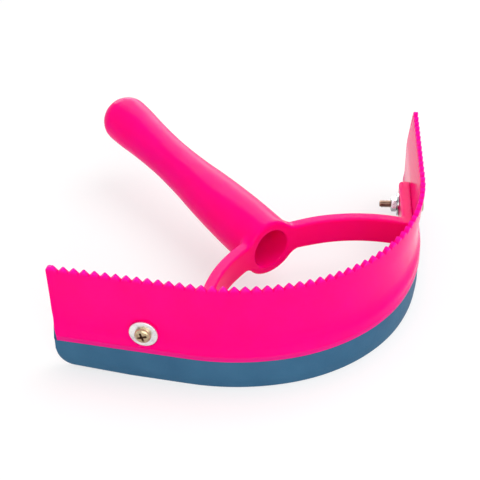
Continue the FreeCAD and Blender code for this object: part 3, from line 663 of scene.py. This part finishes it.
def ring(inner, outer, start, finish, edge):
    """Washer about Y between two distances inwards, with rounded edges."""
    mesh = bmesh.new()
    corners = [
        mesh.verts.new((off, along, 0))
        for off, along in ((inner, start), (outer, start), (outer, finish), (inner, finish))
    ]
    for first, last in zip(corners, corners[1:] + corners[:1]):
        mesh.edges.new((first, last))
    round_corners(mesh, [(corner, edge) for corner in corners], 4)
    bmesh.ops.spin(
        mesh, geom=mesh.verts[:] + mesh.edges[:], cent=(0, 0, 0), axis=(0, 1, 0), dvec=(0, 0, 0),
        angle=2 * math.pi, steps=96, use_merge=True, use_normal_flip=False, use_duplicate=False,
    )
    bmesh.ops.remove_doubles(mesh, verts=mesh.verts[:], dist=0.001)
    bmesh.ops.recalc_face_normals(mesh, faces=mesh.faces[:])
    return mesh


def plated_steel(name, bright, dull, low, high):
    """Plated steel: a cloudy tint, fine scratches and uneven gloss."""
    material = bpy.data.materials.new(name)
    material.use_nodes = True
    nodes, links = material.node_tree.nodes, material.node_tree.links
    shader = nodes["Principled BSDF"]
    shader.inputs["Metallic"].default_value = 1.0
    coordinates = nodes.new("ShaderNodeTexCoord").outputs["Object"]
    clouds = fine_noise(nodes, links, coordinates, 420.0, 4.0)
    share = spread(nodes, links, clouds, 0.35, 0.7, 0.0, 1.0)
    links.new(mix_colours(nodes, links, share, bright, dull), shader.inputs["Base Color"])
    stretched = nodes.new("ShaderNodeMapping")
    stretched.inputs["Scale"].default_value = (600.0, 600.0, 7000.0)
    links.new(coordinates, stretched.inputs["Vector"])
    scratches = fine_noise(nodes, links, stretched.outputs["Vector"], 1.0, 4.0)
    links.new(spread(nodes, links, scratches, 0.3, 0.7, low, high), shader.inputs["Roughness"])
    add_relief(nodes, links, shader, scratches, 0.00002, 0.4)
    return material


white_zinc = plated_steel("white_zinc", (0.84, 0.84, 0.82), (0.60, 0.62, 0.63), 0.22, 0.40)
for side_name, side in (("right", 1), ("left", -1)):
    washer_mesh = on_bolt(ring(2.15, 6.95, head_seat, seat_face, 0.25), side, 0)
    washer = make_object(side_name + "_front_washer", washer_mesh, 50)
    washer.data.materials.append(white_zinc)
    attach(washer, "root")
    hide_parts(side_name + "_outer_washer")

# ---- Screws -----------------------------------------------------------------------------
# M4 pan-head machine screws in yellow zinc, with a cross recess. Each passes through the
# washer, the flank and the lug, and its bare thread stands out past the nut.

head_radius, head_height = 4.0, 2.4
thread_radius, core_radius, thread_pitch = 2.0, 1.6, 0.7
screw_tip, thread_start = head_seat + 21.0, lug_face - 1.0


def thread(start, finish, turn_steps):
    """Helical ridge round Y, running from start to finish."""
    mesh = bmesh.new()
    foot_radius, foot_width, top_width = core_radius - 0.1, 0.33, 0.06
    ridge = (
        (foot_radius, -foot_width), (thread_radius, -top_width),
        (thread_radius, top_width), (foot_radius, foot_width),
    )
    mesh.faces.new([mesh.verts.new((off, start + along, 0)) for off, along in ridge])
    turns = (finish - start) / thread_pitch
    steps = round(turns * turn_steps)
    bmesh.ops.spin(
        mesh, geom=mesh.verts[:] + mesh.edges[:] + mesh.faces[:], cent=(0, 0, 0), axis=(0, 1, 0),
        dvec=(0, (finish - start) / steps, 0), angle=2 * math.pi * turns, steps=steps,
        use_merge=False, use_normal_flip=False, use_duplicate=False,
    )
    bmesh.ops.recalc_face_normals(mesh, faces=mesh.faces[:])
    return mesh


def cross_arm(turn):
    """One tapered wing of the cross recess."""
    mesh = bmesh.new()
    bmesh.ops.create_cube(mesh, size=1.0)
    bmesh.ops.scale(mesh, vec=(7.6, 3.2, 1.5), verts=mesh.verts[:])
    deep = [vertex for vertex in mesh.verts if vertex.co.y > 0]
    bmesh.ops.scale(mesh, vec=(0.35, 1, 0.55), verts=deep)
    bmesh.ops.rotate(mesh, cent=(0, 0, 0), matrix=Matrix.Rotation(turn, 3, "Y"), verts=mesh.verts[:])
    bmesh.ops.translate(mesh, vec=(0, head_seat - head_height, 0), verts=mesh.verts[:])
    return mesh


yellow_zinc = plated_steel("yellow_zinc", (0.60, 0.49, 0.32), (0.32, 0.23, 0.13), 0.20, 0.36)
# A darker brown zinc stands in for painted shade between the thread's ridges and down in the cross
# recess.
thread_painted_shade = plated_steel("thread_painted_shade", (0.36, 0.25, 0.19), (0.16, 0.09, 0.06), 0.30, 0.50)
screw_outline = (
    (head_seat - head_height, 0, 0),
    (head_seat - head_height, head_radius, 1.6),
    (head_seat, head_radius, 0.12),
    (head_seat, core_radius, 0),
    (screw_tip, core_radius, 0.4),
    (screw_tip, 0, 0),
)
for side_name, side in (("right", 1), ("left", -1)):
    shank = make_object(side_name + "_pan_screw", turned(screw_outline, 64, 8))
    for turn in (0.35, 0.35 + math.pi / 2):
        carve(shank, make_object("recess", cross_arm(turn)), "DIFFERENCE")
    screw_mesh = bmesh.new()
    screw_mesh.from_mesh(shank.data)
    bmesh.ops.scale(screw_mesh, vec=(1000, 1000, 1000), verts=screw_mesh.verts[:])
    ridge_data = bpy.data.meshes.new("ridge")
    ridge_mesh = thread(thread_start, screw_tip - 0.6, 32)
    ridge_mesh.to_mesh(ridge_data)
    ridge_mesh.free()
    screw_mesh.from_mesh(ridge_data)
    # The shank past the head and the faces down in the cross recess take the darker brown, as painted
    # shade.
    for face in screw_mesh.faces:
        middle = face.calc_center_median()
        recess_painted_dark = middle.y > head_seat - head_height + 0.08 and math.hypot(middle.x, middle.z) < 2.7
        face.material_index = 1 if middle.y > head_seat + 0.01 or recess_painted_dark else 0
    bpy.data.objects.remove(shank)
    screw = make_object(side_name + "_pan_screw", on_bolt(screw_mesh, side, 0), 35)
    screw.data.materials.append(yellow_zinc)
    screw.data.materials.append(thread_painted_shade)
    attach(screw, "root")
    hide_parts(side_name + "_screw")

# ---- Inner washers ----------------------------------------------------------------------
# A narrower washer of plated steel lies between each lug and its nut, pressed against the
# plastic when the nut is tightened.

bright_zinc = plated_steel("bright_zinc", (0.50, 0.50, 0.52), (0.22, 0.22, 0.24), 0.12, 0.26)
for side_name, side in (("right", 1), ("left", -1)):
    washer_mesh = on_bolt(ring(2.15, 6.1, lug_face, lug_face + 1.0, 0.2), side, 0)
    washer = make_object(side_name + "_back_washer", washer_mesh, 50)
    washer.data.materials.append(bright_zinc)
    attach(washer, "root")
    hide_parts(side_name + "_inner_washer")

# ---- Nuts -------------------------------------------------------------------------------
# M4 hexagon nuts of plated steel, turned at both ends so that only the corners are chamfered.
# Each pulls its flank and its lug together.

nut_flats, nut_thickness, nut_seat = 7.0, 3.2, lug_face + 1.0
nut_corner = nut_flats / 2 / math.cos(math.radians(30))
for side_name, side in (("right", 1), ("left", -1)):
    nut_mesh = bmesh.new()
    bmesh.ops.create_cone(
        nut_mesh, cap_ends=True, segments=6, radius1=nut_corner, radius2=nut_corner, depth=nut_thickness
    )
    upright = Matrix.Rotation(math.pi / 2, 3, "X") @ Matrix.Rotation(math.pi / 2, 3, "Z")
    bmesh.ops.rotate(nut_mesh, cent=(0, 0, 0), matrix=upright, verts=nut_mesh.verts[:])
    bmesh.ops.translate(nut_mesh, vec=(0, nut_seat + nut_thickness / 2, 0), verts=nut_mesh.verts[:])
    bmesh.ops.recalc_face_normals(nut_mesh, faces=nut_mesh.faces[:])
    nut = make_object(side_name + "_hex_nut", nut_mesh)
    lens_outline = (
        (nut_seat, 0, 0),
        (nut_seat, nut_corner - 0.85, 0),
        (nut_seat + 0.6, nut_corner + 0.12, 0),
        (nut_seat + nut_thickness - 0.6, nut_corner + 0.12, 0),
        (nut_seat + nut_thickness, nut_corner - 0.85, 0),
        (nut_seat + nut_thickness, 0, 0),
    )
    carve(nut, make_object("nut_ends", turned(lens_outline, 96, 1)), "INTERSECT")
    carve(nut, make_object("nut_bore", cylinder(2.02, nut_seat - 1, nut_seat + 5, 48)), "DIFFERENCE")
    placed = bmesh.new()
    placed.from_mesh(nut.data)
    bmesh.ops.scale(placed, vec=(1000, 1000, 1000), verts=placed.verts[:])
    on_bolt(placed, side, 0)
    bmesh.ops.scale(placed, vec=(0.001, 0.001, 0.001), verts=placed.verts[:])
    placed.to_mesh(nut.data)
    placed.free()
    shade(nut, 20)
    nut.data.materials.append(bright_zinc)
    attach(nut, "root")
    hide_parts(side_name + "_nut")

# ---- Floor and light --------------------------------------------------------------------
# A plain white floor that keeps the shadow, an even white surround, two soft lamps above and
# in front, and two broad panels that show only as highlights on what is glossy.

floor_mesh = bmesh.new()
bmesh.ops.create_grid(floor_mesh, x_segments=1, y_segments=1, size=3.0)
floor_data = bpy.data.meshes.new("floor")
floor_mesh.to_mesh(floor_data)
floor_mesh.free()
floor = bpy.data.objects.new("floor", floor_data)
bpy.context.scene.collection.objects.link(floor)


def seen_directly(nodes, links):
    """Socket that is 1 for what the camera sees, also in gloss and through clear things."""
    path = nodes.new("ShaderNodeLightPath")
    total = path.outputs["Is Camera Ray"]
    for kind in ("Is Glossy Ray", "Is Transmission Ray"):
        both = nodes.new("ShaderNodeMath")
        both.operation = "ADD"
        both.use_clamp = True
        links.new(total, both.inputs[0])
        links.new(path.outputs[kind], both.inputs[1])
        total = both.outputs[0]
    return total


paper = bpy.data.materials.new("white_floor")
paper.use_nodes = True
nodes, links = paper.node_tree.nodes, paper.node_tree.links
nodes.clear()
matt = nodes.new("ShaderNodeBsdfDiffuse")
matt.inputs["Color"].default_value = (0.82, 0.82, 0.82, 1)
faint = nodes.new("ShaderNodeBsdfDiffuse")
faint.inputs["Color"].default_value = (0.4, 0.4, 0.4, 1)
glow = nodes.new("ShaderNodeEmission")
glow.inputs["Strength"].default_value = 0.56
both = nodes.new("ShaderNodeAddShader")
links.new(faint.outputs[0], both.inputs[0])
links.new(glow.outputs[0], both.inputs[1])
choice = nodes.new("ShaderNodeMixShader")
links.new(seen_directly(nodes, links), choice.inputs[0])
links.new(matt.outputs[0], choice.inputs[1])
links.new(both.outputs[0], choice.inputs[2])
output = nodes.new("ShaderNodeOutputMaterial")
links.new(choice.outputs[0], output.inputs["Surface"])
floor.data.materials.append(paper)

world = bpy.data.worlds.new("surround")
bpy.context.scene.world = world
world.use_nodes = True
nodes, links = world.node_tree.nodes, world.node_tree.links
background = nodes["Background"]
background.inputs["Color"].default_value = (1, 1, 1, 1)
links.new(
    spread(nodes, links, seen_directly(nodes, links), 0.0, 1.0, 0.78, 1.0), background.inputs["Strength"]
)


def soft_lamp(name, place, target, width, watts, lights_surfaces):
    """Square area lamp aimed at a point, that either lights surfaces or only shows in gloss."""
    lamp_data = bpy.data.lights.new(name, "AREA")
    lamp_data.size = width
    lamp_data.energy = watts
    lamp = bpy.data.objects.new(name, lamp_data)
    lamp.visible_camera = False
    lamp.visible_diffuse = lights_surfaces
    lamp.visible_glossy = not lights_surfaces
    bpy.context.scene.collection.objects.link(lamp)
    aim = (Vector(target) - Vector(place)).to_track_quat("-Z", "Y")
    lamp.matrix_world = Matrix.Translation(place) @ aim.to_matrix().to_4x4()


soft_lamp("key_lamp", (0.35, 0.0, 1.05), (0, 0.08, 0.02), 0.8, 5.0, True)
soft_lamp("front_fill", (-0.35, -0.9, 0.5), (0, 0.05, 0.03), 0.8, 5.5, True)
soft_lamp("back_gloss", (0.58, 0.95, 0.66), (0, 0.08, 0.03), 1.3, 32.0, False)
soft_lamp("front_gloss", (-0.58, -0.95, 0.66), (0, 0.08, 0.03), 1.3, 16.0, False)

scene = bpy.context.scene
scene.view_settings.view_transform = "Standard"
